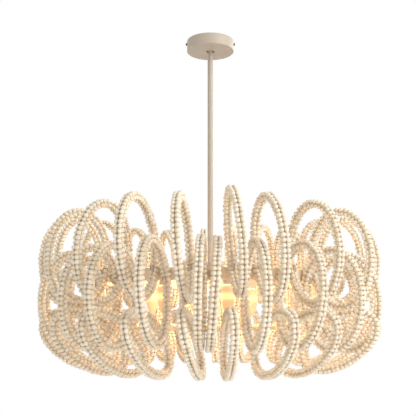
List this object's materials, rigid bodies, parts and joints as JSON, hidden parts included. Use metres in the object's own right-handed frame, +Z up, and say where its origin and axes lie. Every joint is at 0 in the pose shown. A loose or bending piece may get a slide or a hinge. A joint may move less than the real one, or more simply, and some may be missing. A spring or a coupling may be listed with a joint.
{
  "type": "beaded chandelier",
  "caption": "Round ceiling chandelier: tiers of oval beaded hoops on a ring frame around candle lamps, hung on a stem from a canopy with a ball swivel.",
  "frame": {"origin": "on the ceiling, at the middle of the bracket's top face, over the stem", "axes": "+Z up along the stem to the ceiling, -Y towards the pictured front, +X to the right in the picture"},
  "size_m": [0.8701, 0.8692, 0.8786],
  "materials": {
    "painted_frame": "matte cream paint",
    "bracket_steel": "zinc plated",
    "screw_metal": "dark antique",
    "liner_plastic": "smooth",
    "beads": "matte off-white, with a dark thread between the rows",
    "lamp_glass": "frosted, warm"
  },
  "bodies": {
    "ceiling_mount": {"ceiling_bracket": "bracket_steel", "canopy": "painted_frame", "canopy_screw_left": "screw_metal", "canopy_screw_right": "screw_metal", "swivel_seat": "bracket_steel"},
    "swivel_washer": {"swivel_liner": "liner_plastic"},
    "hanging_light": {"swivel_neck": "painted_frame", "stem": "painted_frame", "lamp_spider": "painted_frame", "hub_cap": "painted_frame", "band_ring": "painted_frame", "lamp_01": "lamp_glass", "lamp_02": "lamp_glass", "lamp_03": "lamp_glass", "lamp_04": "lamp_glass", "lamp_05": "lamp_glass", "lamp_06": "lamp_glass", "upper_hoop_01": "beads", "upper_hoop_02": "beads", "upper_hoop_03": "beads", "upper_hoop_04": "beads", "upper_hoop_05": "beads", "upper_hoop_06": "beads", "upper_hoop_07": "beads", "upper_hoop_08": "beads", "upper_hoop_09": "beads", "upper_hoop_10": "beads", "upper_hoop_11": "beads", "upper_hoop_12": "beads", "upper_hoop_13": "beads", "upper_hoop_14": "beads", "upper_hoop_15": "beads", "upper_hoop_16": "beads", "upper_hoop_17": "beads", "upper_hoop_18": "beads", "upper_hoop_19": "beads", "upper_hoop_20": "beads", "middle_hoop_01": "beads", "middle_hoop_02": "beads", "middle_hoop_03": "beads", "middle_hoop_04": "beads", "middle_hoop_05": "beads", "middle_hoop_06": "beads", "middle_hoop_07": "beads", "middle_hoop_08": "beads", "middle_hoop_09": "beads", "middle_hoop_10": "beads", "middle_hoop_11": "beads", "middle_hoop_12": "beads", "middle_hoop_13": "beads", "middle_hoop_14": "beads", "middle_hoop_15": "beads", "middle_hoop_16": "beads", "middle_hoop_17": "beads", "middle_hoop_18": "beads", "middle_hoop_19": "beads", "middle_hoop_20": "beads", "middle_hoop_paired": "beads", "lower_ring_with_hoops": "beads"}
  },
  "joints": [
    {"name": "sway_sideways", "type": "hinge", "parent": "ceiling_mount", "child": "swivel_washer", "pos_m": [0, 0, -0.0179], "axis": [0, 1, 0], "range_deg": [-15, 15]},
    {"name": "sway_front_back", "type": "hinge", "parent": "swivel_washer", "child": "hanging_light", "pos_m": [0, 0, -0.0179], "axis": [1, 0, 0], "range_deg": [-15, 15]}
  ]
}
